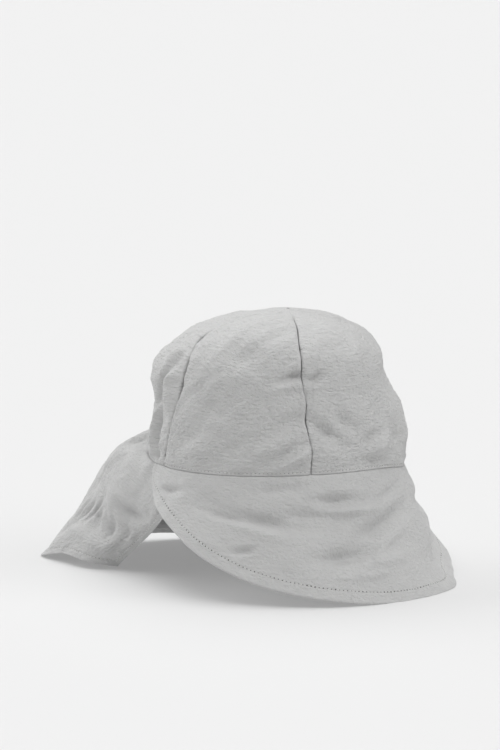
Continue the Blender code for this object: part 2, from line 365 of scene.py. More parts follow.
# Here x is an azimuth and y the share of the way from the seam to the hem.
BRIM_CREASES = with_columns(
    "x y turn long wide depth",
    (27, 0.21, 0, 0.015, 0.0040, 0.0050),
    (24, 0.30, -2, 0.020, 0.0028, -0.0030),
    (55, 0.42, 4, 0.020, 0.0050, 0.0050),
    (56, 0.53, 4, 0.020, 0.0046, -0.0018),
    (40, 0.33, -6, 0.013, 0.0048, 0.0046),
    (8, 0.42, -24, 0.020, 0.0046, 0.0060),
    (4, 0.52, -24, 0.016, 0.0030, -0.0019),
    (27, 0.64, -16, 0.014, 0.0048, 0.0080),
    (13, 0.70, -6, 0.014, 0.0045, -0.0030),
    (21, 0.80, -8, 0.016, 0.0030, -0.0019),
    (63.5, 0.745, -45, 0.007, 0.0024, 0.0030),
    (71, 0.47, -8, 0.014, 0.0036, 0.0029),
    (101, 0.47, -50, 0.014, 0.0044, 0.0030),
    (48, 0.12, -10, 0.014, 0.0040, 0.0023),
    (-2, 0.18, -20, 0.012, 0.0036, 0.0025),
    (-35, 0.35, 15, 0.018, 0.0060, 0.0047),
    (-60, 0.50, -20, 0.020, 0.0060, 0.0047),
    (-85, 0.45, 10, 0.014, 0.0050, 0.0034),
)

# Here x is the share of the way round the flap and y that of the way from the seam to the hem.
FLAP_CREASES = with_columns(
    "x y turn long wide depth",
    (0.245, 0.62, -78, 0.009, 0.0018, 0.0030),
    (0.225, 0.60, -80, 0.009, 0.0018, -0.0018),
    (0.285, 0.64, -74, 0.008, 0.0014, 0.0018),
    (0.315, 0.63, -72, 0.008, 0.0014, 0.0015),
    (0.160, 0.62, 76, 0.010, 0.0022, 0.0034),
    (0.195, 0.62, 74, 0.010, 0.0024, -0.0021),
    (0.190, 0.42, 82, 0.014, 0.0060, -0.0039),
    (0.130, 0.42, 0, 0.011, 0.0050, 0.0041),
    (0.110, 0.60, 60, 0.014, 0.0036, 0.0021),
    (0.220, 0.80, 15, 0.014, 0.0060, -0.0030),
    (0.300, 0.70, -60, 0.014, 0.0040, 0.0025),
    (0.320, 0.35, -80, 0.020, 0.0030, 0.0023),
    (0.280, 0.28, -84, 0.018, 0.0028, -0.0016),
    (0.380, 0.09, 40, 0.010, 0.0045, 0.0039),
    (0.500, 0.60, 85, 0.020, 0.0060, 0.0043),
    (0.620, 0.40, 95, 0.020, 0.0060, 0.0043),
    (0.750, 0.55, 80, 0.018, 0.0050, 0.0039),
    (0.860, 0.40, 100, 0.016, 0.0050, 0.0039),
)


def eased(table, key, column, at):
    """The smooth curve through a table's rows, read at the given places: a cubic in each gap whose
    slopes at the rows are those of the rows beside them."""
    knots = table[key]
    values = table[column]
    slopes = np.gradient(values, knots)
    at = np.clip(at, knots[0], knots[-1])
    i = np.clip(np.searchsorted(knots, at) - 1, 0, len(knots) - 2)
    step = knots[i + 1] - knots[i]
    t = (at - knots[i]) / step
    start = (1 + 2 * t) * (1 - t) ** 2 * values[i] + t * (1 - t) ** 2 * step * slopes[i]
    end = t**2 * (3 - 2 * t) * values[i + 1] + t**2 * (t - 1) * step * slopes[i + 1]
    return start + end


def round_seam(column, azimuth):
    """The same for RIM, which closes on itself."""
    turned = [RIM.copy() for _ in range(3)]
    for turn, rows in zip((-360, 0, 360), turned):
        rows["azimuth"] += turn
    return eased(np.concatenate(turned), "azimuth", column, azimuth)


def outward(azimuth):
    """The level direction at an azimuth: (-sin, -cos, 0)."""
    a = np.radians(azimuth)
    return np.stack([-np.sin(a), -np.cos(a), np.zeros_like(a)], axis=-1)


def upright(height):
    """A height as a point."""
    return np.stack([np.zeros_like(height), np.zeros_like(height), height], axis=-1)


def seam_radius(azimuth):
    return RIM_RADIUS * round_seam("reach", azimuth)


def seam_height(azimuth):
    return RIM_HEIGHT * round_seam("height", azimuth)


def apart(azimuth, other):
    """The angle between two azimuths, from -180 to 180."""
    return (azimuth - other + 180) % 360 - 180


def crown_form(azimuth, along):
    """The crown's broad form: the profile turned round the head, leaning and twisted towards its
    top by the share of the rise, less a bell-shaped dent for each row of CROWN_DENTS."""
    rise = eased(CROWN_PROFILE, "along", "rise", along)
    reach = seam_radius(azimuth) * eased(CROWN_PROFILE, "along", "reach", along)
    placed = azimuth + CROWN_TWIST * rise
    for dent in CROWN_DENTS:
        across = apart(placed, dent["azimuth"]) / dent["wide"]
        up = (rise - dent["rise"]) / dent["tall"]
        reach = reach - RIM_RADIUS * dent["depth"] * np.exp(-(across**2) - up**2)
    reach = np.maximum(reach, CROWN_TIP)
    foot = seam_height(azimuth)
    height = foot + (RIM_HEIGHT + CROWN_RISE - foot) * rise
    lean = CROWN_LEAN * rise[..., None] ** 2 * outward(LEAN_AZIMUTH)
    return reach[..., None] * outward(placed) + lean + upright(height)


def brim_form(azimuth, down):
    """The brim's broad form: straight lines from the seam to the hem, sunk by half a sine wave
    between, less a bell-shaped dent for each row of BRIM_DENTS."""
    top = seam_radius(azimuth)
    head = seam_height(azimuth) - SEAM_GAP
    hem = top + BRIM_FLARE * eased(BRIM_HEM, "azimuth", "out", azimuth)
    foot = RIM_HEIGHT * eased(BRIM_HEM, "azimuth", "height", azimuth)
    hollow = BRIM_HOLLOW * np.cos(azimuth / BRIM_END * pi / 2)
    reach = top + (hem - top) * down - hollow * np.sin(pi * down)
    below_seam = np.sin(pi * np.minimum(down, 1 / 2))
    for dent in BRIM_DENTS:
        across = (azimuth - dent["azimuth"]) / dent["wide"]
        along = (down - dent["down"]) / dent["tall"]
        reach = reach - BRIM_FLARE * dent["depth"] * below_seam * np.exp(-(across**2) - along**2)
    return reach[..., None] * outward(azimuth) + upright(head + (foot - head) * down)


def flap_form(along, down):
    """The flap's broad form: each rib is a cubic Bezier curve that leaves the seam at one slope and
    reaches the hem at another, and FLAP_FOLDS sink it by bells that fade out at both ends."""
    azimuth = FLAP_START + (360 - 2 * FLAP_START) * along
    past_brim = np.clip((abs(apart(azimuth, 0)) - BRIM_END) / 5, 0, 1)
    tucked = BRIM_CLOTH + 2 * SEAM_GAP
    radius = seam_radius(azimuth) - tucked * (1 - past_brim**2 * (3 - 2 * past_brim))
    top = radius[..., None] * outward(azimuth) + upright(seam_height(azimuth) - SEAM_GAP)
    behind = (RIM_RADIUS + FLAP_TRAIL) * eased(FLAP_RIBS, "along", "behind", along)
    aside = FLAP_SPREAD * eased(FLAP_RIBS, "along", "aside", along)
    height = RIM_HEIGHT * eased(FLAP_RIBS, "along", "height", along)
    hem = np.stack([-aside, behind, height], axis=-1)
    run = hem - top
    length = np.linalg.norm(run, axis=-1, keepdims=True)
    level = run * (1, 1, 0)
    level = level / np.linalg.norm(level, axis=-1, keepdims=True)

    def slope(column):
        angle = np.radians(eased(FLAP_RIBS, "along", column, along))[..., None]
        return level * np.cos(angle) - upright(np.ones_like(along)) * np.sin(angle)

    first = top + slope("fall") * length * RIB_LEAD
    last = hem - slope("land") * length * RIB_RUNOUT
    t = down[..., None]
    ribs = (1 - t) ** 3 * top + 3 * t * (1 - t) ** 2 * first
    ribs = ribs + 3 * t**2 * (1 - t) * last + t**3 * hem
    sunk = 0
    for fold in FLAP_FOLDS:
        across = (along - fold["along"]) / fold["wide"]
        up = (down - fold["down"]) / fold["tall"]
        sunk = sunk + FLAP_TRAIL * fold["depth"] * np.exp(-(across**2) - up**2)
    sunk = sunk * np.sin(pi * down)
    return ribs - FOLD_OUT * sunk[..., None] * outward(azimuth) - upright(FOLD_UP * sunk)


def noise(x, y, seed):
    """Smooth noise from about -1 to 1: at each whole point a slope in a random direction, and
    between four of them their planes mixed by the fifth-degree ease."""
    turns = np.random.default_rng(seed).uniform(0, 2 * pi, (256, 256))
    i = np.floor(x).astype(int)
    j = np.floor(y).astype(int)
    u = x - i
    v = y - j

    def plane(a, b):
        turn = turns[(i + a) % 256, (j + b) % 256]
        return np.cos(turn) * (u - a) + np.sin(turn) * (v - b)

    ease_u = u**3 * (u * (6 * u - 15) + 10)
    ease_v = v**3 * (v * (6 * v - 15) + 10)
    near = plane(0, 0) + (plane(1, 0) - plane(0, 0)) * ease_u
    far = plane(0, 1) + (plane(1, 1) - plane(0, 1)) * ease_u
    return 1.5 * (near + (far - near) * ease_v)


def crinkle(across, down, wrinkle, seed):
    """The cloth's small wrinkles as a share of their height, about -1 to 1: noise stretched along
    them, folded at zero so that its creases are sharp, bent by slower noise, in two sizes."""
    long, wide = wrinkle
    bend = noise(across / long / 2, down / long / 2, seed)
    height = 0
    for size in range(2):
        x = across / long * 2**size + bend
        y = down / wide * 2**size + 0.8 * bend
        folded = 0.5 - abs(noise(x, y, seed + 1 + size))
        height = height + folded / 1.5**size
    return height


def rolling(across, down, seed):
    """The cloth's broad unevenness as a share of its height: slow noise in two sizes, stretched
    along the diagonal on which the cloth gives most."""
    long = (down - across) / ROLL_LONG
    wide = (down + across) / ROLL_WIDE
    return noise(long, wide, seed) + 0.6 * noise(2 * long, 2 * wide, seed + 1)


def creases(table, x, y, x_length, y_length):
    """The depth of all the folds of a table: for each a bell whose long axis is turned."""
    sunk = 0
    for fold in table:
        across = apart(x, fold["x"]) * x_length
        up = (y - fold["y"]) * y_length
        turn = radians(fold["turn"])
        along = across * cos(turn) + up * sin(turn)
        beside = up * cos(turn) - across * sin(turn)
        sunk = sunk + fold["depth"] * bell(along, fold["long"]) * bell(beside, fold["wide"])
    return sunk


def bell(distance, width):
    """A Gaussian bell, 1 at no distance."""
    return np.exp(-((distance / width) ** 2))


def pinned(distance):
    """The share of a fold that is left at a distance from a seam, where the cloth is held flat."""
    return 1 - bell(distance, PINNED)


def stitched_hollow(distance):
    """The depth at a line of stitches, which pull the cloth in."""
    return STITCH_SINK * bell(distance, STITCH_HOLLOW)


def puckers(run, distance, seed):
    """Short wrinkles across a seam: noise along it, fading with the distance from it."""
    line = 0 * run + 0.5
    wave = noise(run / PUCKER_PITCH, line, seed)
    wave = wave + 0.5 * noise(run / PUCKER_PITCH * 2.3, line, seed + 1)
    return PUCKER * wave * np.exp(-distance / PUCKER_REACH)


def facing(form, x, y, step_x, step_y):
    """The outward normal of a form at each point: the cross product of its slopes along x and down
    the cloth, each read a small step to both sides."""
    aside = form(x + step_x, y) - form(x - step_x, y)
    below = form(x, y + step_y) - form(x, y - step_y)
    normal = np.cross(aside, below)
    return normal / np.maximum(np.linalg.norm(normal, axis=-1, keepdims=True), 1e-12)


def normals(points):
    """The outward normal at each point of a grid: the cross product of its slopes."""
    normal = np.cross(np.gradient(points, axis=1), np.gradient(points, axis=0))
    return normal / np.maximum(np.linalg.norm(normal, axis=-1, keepdims=True), 1e-12)


def seam_line(seam, rise):
    """How far a crown seam strays from its azimuth, and half the width of its slit, up the crown.
    The two side seams mirror each other, as the two front ones do, and the seam at the back only
    wavers. Noise makes the slit uneven."""
    seam = apart(seam, 0)
    at_back = abs(seam) > 179
    table = FRONT_SEAMS if abs(seam) < 90 or at_back else SIDE_SEAMS
    side = 0 if at_back else np.sign(seam)
    wander = SEAM_WANDER * np.sin(2 * pi * (2.9 * rise + seam * 0.71)) * (1 - rise)
    uneven = 1 + 0.5 * noise(rise * 23, 0 * rise + 0.5, int(abs(seam)) + 500)
    slit = np.maximum(eased(table, "rise", "slit", rise) * uneven, LEAST_SLIT)
    return side * eased(table, "rise", "stray", rise) + wander, slit


def turned_in(parameter):
    """How far into the cloth turned in behind a seam a parameter lies, from 0 to 1."""
    return np.maximum(np.maximum(-parameter, parameter - 1), 0) / TURNED


def tucked_in(azimuth, down):
    """The way the brim's and the flap's upper edges turn in behind the crown's: level, with a
    slight rise that closes the seam."""
    deep = ALLOWANCE * turned_in(np.minimum(down, 1))
    return upright(TUCK_RISE * deep) - deep[..., None] * outward(azimuth)


def panel_cloth(first, last, seed):
    """One crown panel's outer face as a function of its share across and its way down from the
    tip. It rounds into the seam at each edge by an exponential, and past it runs straight inwards
    while the slit closes. Its small forms fade towards the tip, where the five panels meet."""
    width = radians(last - first)

    def face(share, down):
        along = 1 - np.clip(down, 0, 1)
        rise = eased(CROWN_PROFILE, "along", "rise", along)
        reach = seam_radius(first) * eased(CROWN_PROFILE, "along", "reach", along)
        reach = np.maximum(reach, CROWN_TIP)
        stray_left, slit_left = seam_line(first, rise)
        stray_right, slit_right = seam_line(last, rise)
        open_share = (1 - turned_in(share) ** 3) * np.clip(reach / CLOSED_TOP, 0, 1)
        left = first + stray_left + np.degrees(slit_left * open_share / reach)
        right = last + stray_right - np.degrees(slit_right * open_share / reach)
        azimuth = left + (right - left) * np.clip(share, 0, 1)
        points = crown_form(azimuth, along)
        girth = np.radians(right - left) * reach
        to_left = np.clip(share, 0, 1) * girth
        to_right = np.clip(1 - share, 0, 1) * girth
        to_brim = along * PANEL_LENGTH
        broad = np.clip(reach / PLAIN_TOP, 0, 1)
        near_seams = np.exp(-to_left / SEAM_SPREAD) + np.exp(-to_right / SEAM_SPREAD)
        at_seams = np.exp(-to_left / SEAM_TURN) + np.exp(-to_right / SEAM_TURN)
        across = (share - 0.5) * width * reach
        small = crinkle(across, to_brim, PANEL_WRINKLE, seed) * broad * (1 - 0.5 * rise**2)
        loose = pinned(to_left) * pinned(to_right)
        sunk = -CRINKLE * small - ROLL * rolling(across, to_brim, seed + 5) * broad * loose
        sunk = sunk + creases(CROWN_CREASES, azimuth, rise, radians(1) * RIM_RADIUS, CROWN_RISE)
        gathers = puckers(to_brim, to_left, int(first) + 600)
        gathers = gathers + puckers(to_brim, to_right, int(last) + 600)
        sunk = sunk + broad * gathers
        sunk = sunk * pinned(to_brim) + SEAM_PUFF * broad * near_seams
        sunk = sunk + puckers(azimuth * radians(1) * RIM_RADIUS, to_brim, seed) * pinned(to_brim)
        sunk = sunk + SEAM_SINK * broad * at_seams
        sunk = sunk + BRIM_SEAM_SINK * np.exp(-to_brim / BRIM_SEAM_TURN)
        sunk = sunk + stitched_hollow(to_brim - SEAM_STITCH_OFF)
        sunk = sunk + TOP_SLUMP * bell(reach - SLUMP_RADIUS, SLUMP_SPREAD)
        sunk = sunk + ALLOWANCE * (turned_in(share) + turned_in(down))
        sunk = sunk * np.clip(reach / PLAIN_TIP, TIP_SHARE, 1)
        sunk = sunk + TIP_SINK * bell(reach, TIP_SPREAD)
        normal = facing(crown_form, azimuth, np.minimum(along, NEAR_TIP), TURN_STEP, -DOWN_STEP)
        return points - sunk[..., None] * normal, across, to_brim

    return face


def brim_drop(azimuth):
    """The straight way from the brim's seam to its hem at each azimuth."""
    way = brim_form(azimuth, 1 + 0 * azimuth) - brim_form(azimuth, 0 * azimuth)
    return np.linalg.norm(way, axis=-1)


def brim_cloth(share, down):
    """The brim's outer face: it starts under the crown's edge and has a band of turned cloth along
    its hem and its two ends, marked off by stitches."""
    azimuth = BRIM_END * (2 * share - 1)
    low = np.maximum(down, 0)
    points = brim_form(azimuth, low)
    flare = BRIM_FLARE * eased(BRIM_HEM, "azimuth", "out", azimuth)
    radius = seam_radius(azimuth) + flare * low
    across = np.radians(azimuth) * radius
    drop = brim_drop(azimuth)
    to_seam = low * drop
    to_hem = (1 - down) * drop
    to_end = np.radians(BRIM_END - abs(azimuth)) * radius
    inside = np.clip((to_hem - BRIM_HEM_BAND / 2) / BRIM_HEM_BAND, 0, 1)
    small = crinkle(across, to_seam, BRIM_WRINKLE, 42) * (FLAT_HEM + (1 - FLAT_HEM) * inside)
    sunk = -BRIM_CRINKLE * CRINKLE * small
    sunk = sunk - BRIM_ROLL * ROLL * rolling(across, -to_seam, 45)
    folds = creases(BRIM_CREASES, azimuth, down, radians(1) * RIM_RADIUS, -BRIM_LENGTH)
    sunk = sunk + folds * inside
    sunk = sunk + HEM_PUCKER * puckers(across, abs(to_hem - BRIM_HEM_BAND) * 1.6, 40)
    sunk = sunk + puckers(across, to_seam, 41)
    sunk = sunk * pinned(to_seam) + BRIM_SEAM_SINK * np.exp(-to_seam / BRIM_SEAM_TURN)
    sunk = sunk + 0.5 * stitched_hollow(to_hem - BRIM_HEM_BAND)
    sunk = sunk + stitched_hollow(to_end - BRIM_END_BAND)
    sunk = sunk + END_TUCK * bell(to_end, END_TUCK_SPREAD) * low**2
    points = points - sunk[..., None] * facing(brim_form, azimuth, low, TURN_STEP, DOWN_STEP)
    return points + tucked_in(azimuth, down), across, -to_seam


def flap_cloth(along, down):
    """The flap's outer face, with a band of turned cloth along its hem and its two front edges."""
    low = np.maximum(down, 0)
    points = flap_form(along, low)
    to_seam = low * FLAP_LENGTH
    to_hem = (1 - down) * FLAP_LENGTH
    to_edge = (0.5 - abs(along - 0.5)) * FLAP_WIDTH
    across = along * FLAP_WIDTH
    inside = np.clip(np.minimum(to_hem, to_edge) / FLAP_HEM_BAND - 0.5, 0, 1)
    small = crinkle(to_seam, across, FLAP_WRINKLE, 53) * (FLAT_HEM + (1 - FLAT_HEM) * inside)
    sunk = -FLAP_CRINKLE * CRINKLE * small
    broad = rolling(to_seam, across, 55) * (FLAT_ROLL + (1 - FLAT_ROLL) * inside)
    sunk = sunk - ROLL * broad
    sunk = sunk + creases(FLAP_CREASES, along, down, FLAP_WIDTH, -FLAP_LENGTH) * inside
    sunk = sunk + HEM_PUCKER * puckers(across, abs(to_hem - FLAP_HEM_BAND), 50)
    sunk = sunk + puckers(across, to_seam, 51)
    sunk = sunk + HEM_PUCKER * puckers(to_seam, abs(to_edge - FLAP_HEM_BAND), 52)
    sunk = sunk * pinned(to_seam) + BRIM_SEAM_SINK * np.exp(-to_seam / BRIM_SEAM_TURN)
    in_hem = np.minimum(to_hem, to_edge) - FLAP_HEM_BAND
    sunk = sunk + stitched_hollow(in_hem) - HEM_LIFT / (1 + np.exp(in_hem / HEM_STEP))
    points = points - sunk[..., None] * facing(flap_form, along, low, ROUND_STEP, DOWN_STEP)
    azimuth = FLAP_START + (360 - 2 * FLAP_START) * along
    return points + tucked_in(azimuth, down), across, -to_seam


def crowded(count, ends):
    """Steps from 0 to 1 that are closer together at both ends: a line less a sine wave."""
    t = np.linspace(0, 1, count + 1)
    return t - ends * np.sin(2 * pi * t) / (2 * pi)


def with_turnings(steps, before, after):
    """The same steps with some more over the cloth that is turned in at either end."""
    first = -TURNED * np.linspace(1, 0, before, endpoint=False)
    last = 1 + TURNED * np.linspace(0, 1, after + 1)[1:]
    return np.concatenate([first, steps, last])


def shell(points, wall):
    """A closed shell round a grid of outer points, as vertices, faces and each vertex's place in
    the grid. The inner face lies a wall's thickness under the outer one at half its fineness, and
    half rounds join the two along the border."""
    rows, columns = points.shape[:2]
    normal = normals(points)
    out = np.zeros_like(points)
    out[0] += points[0] - points[1]
    out[-1] += points[-1] - points[-2]
    out[:, 0] += points[:, 0] - points[:, 1]
    out[:, -1] += points[:, -1] - points[:, -2]
    number = np.arange(rows * columns).reshape(rows, columns)
    border = np.concatenate([number[0, :-1], number[:-1, -1], number[-1, :0:-1], number[:0:-1, 0]])
    flat = points.reshape(-1, 3)
    up = normal.reshape(-1, 3)[border]
    side = out.reshape(-1, 3)[border]
    side = side - (side * up).sum(axis=1, keepdims=True) * up
    side = side / np.maximum(np.linalg.norm(side, axis=1, keepdims=True), 1e-12)
    middle = flat[border] - up * wall / 2
    turns = [pi * k / 4 for k in (1, 2, 3)]
    rings = [middle + wall / 2 * (cos(a) * up + sin(a) * side) for a in turns]
    inner = (points - wall * normal)[::2, ::2]
    coarse = np.full(rows * columns, -1)
    coarse[number[::2, ::2].ravel()] = np.arange(inner.shape[0] * inner.shape[1])
    vertices = np.concatenate([flat, *rings, inner.reshape(-1, 3)])
    source = np.concatenate([number.ravel(), border, border, border, number[::2, ::2].ravel()])
    first_inner = rows * columns + 3 * len(border)

    def quads(grid):
        corners = [grid[:-1, :-1], grid[:-1, 1:], grid[1:, 1:], grid[1:, :-1]]
        return np.stack(corners, axis=-1).reshape(-1, 4)

    inside = np.arange(inner.shape[0] * inner.shape[1]).reshape(inner.shape[:2]) + first_inner
    faces = quads(number).tolist() + quads(inside)[:, ::-1].tolist()
    loops = [border] + [rows * columns + k * len(border) + np.arange(len(border)) for k in range(3)]
    for near, far in zip(loops[:-1], loops[1:]):
        faces += np.stack([np.roll(near, -1), near, far, np.roll(far, -1)], axis=-1).tolist()
    last = loops[-1]
    end = coarse[border[::2]] + first_inner
    faces += np.stack(
        [np.roll(last, -2)[::2], last[1::2], last[::2], end, np.roll(end, -1)], axis=-1
    ).tolist()
    return vertices, faces, source


def made_piece(name, vertices, faces, materials):
    """A mesh object at the origin, its place in its mesh, no lower than the table."""
    placed = vertices + HEAD_AXIS
    placed[:, 2] = np.maximum(placed[:, 2], LOWEST)
    mesh = bpy.data.meshes.new(name)
    mesh.from_pydata(placed.tolist(), [], faces)
    for material in materials:
        mesh.materials.append(material)
    mesh.shade_smooth()
    piece = bpy.data.objects.new(name, mesh)
    bpy.context.scene.collection.objects.link(piece)
    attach(piece, "root")
    return piece


def cloth_piece(node, face, columns, rows, wall, material):
    """A piece of cloth for one node: its face's grid with a thickness, and a UV map that holds each
    point's place on the flat cloth in metres."""
    share, along = np.meshgrid(columns, rows)
    points, across, up = face(share, along)
    vertices, faces, source = shell(points, wall)
    piece = made_piece(node + "_cloth", vertices, faces, [material])
    place = np.stack([across.ravel(), up.ravel()], axis=-1)[source]
    corner = np.empty(len(piece.data.loops), int)
    piece.data.loops.foreach_get("vertex_index", corner)
    layer = piece.data.uv_layers.new(name="cloth")
    layer.uv.foreach_set("vector", place[corner].astype(np.float32).ravel())
    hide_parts(node)
    return piece


def stitches(name, face, line, hole, materials):
    """A row of stitches along a line of the cloth, as one mesh: each is a small capsule along the
    line, half sunk in, and between two of them is a low six-sided cone painted dark grey, the
    painted shade of the needle's hole. line gives both parameters of the face for shares from 0
    to 1, and hole is the cone's radius."""
    first, second = line(np.linspace(0, 1, LINE_STEPS))
    ahead = np.stack([np.gradient(first), np.gradient(second)])
    ahead = RIBBON * ahead / np.linalg.norm(ahead, axis=0)
    a = np.stack([first + ahead[1], first, first - ahead[1]])
    b = np.stack([second - ahead[0], second, second + ahead[0]])
    ribbon = face(a, b)[0]
    points, normal = ribbon[1], normals(ribbon)[1]
    run = np.concatenate([[0], np.cumsum(np.linalg.norm(np.diff(points, axis=0), axis=1))])

    def read(values, at):
        return np.stack([np.interp(at, run, values[:, k]) for k in range(3)], axis=-1)

    at = np.arange(STITCH_PITCH / 2, run[-1] - STITCH_PITCH / 2, STITCH_PITCH)
    centre = read(points, at)
    ahead = read(points, at + THREAD) - centre
    ahead = ahead / np.linalg.norm(ahead, axis=1, keepdims=True)
    up = read(normal, at)
    up = up - (up * ahead).sum(axis=1, keepdims=True) * ahead
    up = up / np.linalg.norm(up, axis=1, keepdims=True)
    side = np.cross(up, ahead)
    t = np.linspace(-1, 1, STITCH_RINGS)[:, None]
    turn = np.linspace(0, 2 * pi, STITCH_SIDES, endpoint=False)[None, :]
    radius = THREAD / 2 * np.sqrt(1.02 - t**2) ** 0.6
    x = STITCH_LENGTH / 2 * t + 0 * turn
    y = radius * np.cos(turn)
    z = radius * np.sin(turn) - STITCH_DIP * t**2 + STITCH_RISE
    local = [v[None, ..., None] for v in (x, y, z)]
    at_each = [v[:, None, None, :] for v in (ahead, side, up, centre)]
    capsules = at_each[3] + local[0] * at_each[0] + local[1] * at_each[1] + local[2] * at_each[2]
    each = t.size * turn.size
    number = np.arange(each).reshape(t.size, turn.size)
    after = np.roll(number, -1, axis=1)
    quads = np.stack([number[:-1], after[:-1], after[1:], number[1:]], axis=-1).reshape(-1, 4)
    faces = (quads[None] + each * np.arange(len(at))[:, None, None]).reshape(-1, 4).tolist()
    for start in (each * np.arange(len(at))).tolist():
        faces.append(list(range(start + turn.size - 1, start - 1, -1)))
        faces.append(list(range(start + each - turn.size, start + each)))
    vertices = capsules.reshape(-1, 3)
    threads = len(faces)
    # Between each two stitches a low cone, painted dark grey as the shade in the needle's hole
    middle = read(points, at + STITCH_PITCH / 2)[:, None, :]
    spoke = turn[0][None, :, None]
    uneven = 0.9 + 0.5 * noise(at / STITCH_PITCH * 0.7, 0 * at + 0.5, len(at))
    radius = hole * np.maximum(uneven, 0.3)[:, None, None]
    ring = middle + radius * (np.cos(spoke) * ahead[:, None] + np.sin(spoke) * side[:, None])
    ring = ring + HOLE_RIM * up[:, None]
    top = middle + HOLE_TOP * up[:, None]
    sides = np.arange(STITCH_SIDES)[None, :]
    start = len(vertices) + (STITCH_SIDES + 1) * np.arange(len(at))[:, None]
    near = start + sides
    far = start + (sides + 1) % STITCH_SIDES
    tip = start + STITCH_SIDES + 0 * near
    vertices = np.concatenate([vertices, np.concatenate([ring, top], axis=1).reshape(-1, 3)])
    faces += np.stack([near, far, tip], axis=-1).reshape(-1, 3).tolist()
    faces += near[:, ::-1].tolist()
    piece = made_piece(name, vertices, faces, materials)
    kind = (np.arange(len(faces)) >= threads).astype(np.int32)
    piece.data.polygons.foreach_set("material_index", kind)
    return piece


def above_seam_line(s):
    """Across a crown panel, just above the brim's seam."""
    share = STITCH_START + (1 - 2 * STITCH_START) * s
    return share, 1 - SEAM_STITCH_OFF / PANEL_LENGTH + 0 * s


def brim_hem_line(s):
    """Along the brim's hem, a band's width above its edge."""
    share = STITCH_START + (1 - 2 * STITCH_START) * s
    return share, 1 - BRIM_HEM_BAND / brim_drop(BRIM_END * (2 * share - 1))


def flap_hem_line(s):
    """Along the flap's hem, between its two front bands."""
    band = FLAP_HEM_BAND / FLAP_WIDTH
    return band + (1 - 2 * band) * s, 1 - FLAP_HEM_BAND / FLAP_LENGTH + 0 * s


def flap_right_line(s):
    """Down the flap's right front edge, from just below the seam to the hem's band."""
    return FLAP_HEM_BAND / FLAP_WIDTH + 0 * s, 0.03 + (0.97 - FLAP_HEM_BAND / FLAP_LENGTH) * s


def flap_left_line(s):
    """Down the flap's left front edge."""
    right, down = flap_right_line(s)
    return 1 - right, down


def linear(hex_colour):
    """An sRGB hex colour as linear RGBA."""
    parts = np.array([int(hex_colour[k : k + 2], 16) for k in (1, 3, 5)]) / 255
    straight = np.where(parts <= 0.04045, parts / 12.92, ((parts + 0.055) / 1.055) ** 2.4)
    return (*straight.tolist(), 1)


def add_node(tree, kind, settings=None, values=None, links=None):
    """A node with its settings, its inputs' values and its links from other nodes' outputs."""
    node = tree.nodes.new(kind)
    for key, value in (settings or {}).items():
        setattr(node, key, value)
    for key, value in (values or {}).items():
        node.inputs[key].default_value = value
    for key, output in (links or {}).items():
        tree.links.new(output, node.inputs[key])
    return node


def new_material(name, inputs):
    """A node material with these inputs on its shader, its node tree and its shader."""
    material = bpy.data.materials.new(name)
    material.use_nodes = True
    shader = material.node_tree.nodes["Principled BSDF"]
    for key, value in inputs.items():
        shader.inputs[key].default_value = value
    return material, material.node_tree, shader


def tinted(tree, shader, pattern, tints):
    """Lets a pattern mix the shader's colour from two hex colours."""
    colours = {"A": linear(tints[0]), "B": linear(tints[1])}
    settings = {"data_type": "RGBA"}
    tint = add_node(tree, "ShaderNodeMix", settings, colours, {"Factor": pattern.outputs["Fac"]})
    tree.links.new(tint.outputs["Result"], shader.inputs["Base Color"])


def bumped(tree, pattern, strength, distance, links=None):
    """The normal bent by a pattern's slopes."""
    values = {"Strength": strength, "Distance": distance}
    links = {"Height": pattern.outputs["Fac"], **(links or {})}
    return add_node(tree, "ShaderNodeBump", values=values, links=links).outputs["Normal"]


def crinkled_nylon(name, wrinkled, tints):
    """Washed, crinkled nylon: a matt pale grey with a soft sheen where it turns away, faint clouds
    where the light catches its creases, fine wrinkles across and a weave like a dry grain. The
    threads lie 0.45 mm apart, coarser than real ones, so that they show. wrinkled is the height of
    the fine wrinkles, and tints are the darker and the lighter grey."""
    sheen = {"Sheen Weight": 0.20, "Sheen Roughness": 0.6}
    looks = {"Roughness": 0.72, "Specular IOR Level": 0.35, **sheen}
    material, tree, shader = new_material(name, looks)
    place = add_node(tree, "ShaderNodeUVMap", {"uv_map": "cloth"}).outputs["UV"]

    def clouds(scale, detail, rough):
        wide = add_node(tree, "ShaderNodeMapping", values={"Scale": scale}, links={"Vector": place})
        values = {"Scale": 1, "Detail": detail, "Roughness": rough, "Distortion": 0.4}
        links = {"Vector": wide.outputs["Vector"]}
        return add_node(tree, "ShaderNodeTexNoise", values=values, links=links)

    tinted(tree, shader, clouds(CLOUDS, 5, 0.6), tints)
    normal = bumped(tree, clouds(FINE_WRINKLES, 3, 0.58), 1.0, wrinkled)
    for axis in "XY":
        threads = add_node(
            tree,
            "ShaderNodeTexWave",
            {"wave_type": "BANDS", "bands_direction": axis},
            {"Scale": 1 / WEAVE_PITCH / BANDS, "Distortion": 1.0, "Detail": 1},
            {"Vector": place},
        )
        normal = bumped(tree, threads, 0.25, RIDGE, {"Normal": normal})
    tree.links.new(normal, shader.inputs["Normal"])
    return material


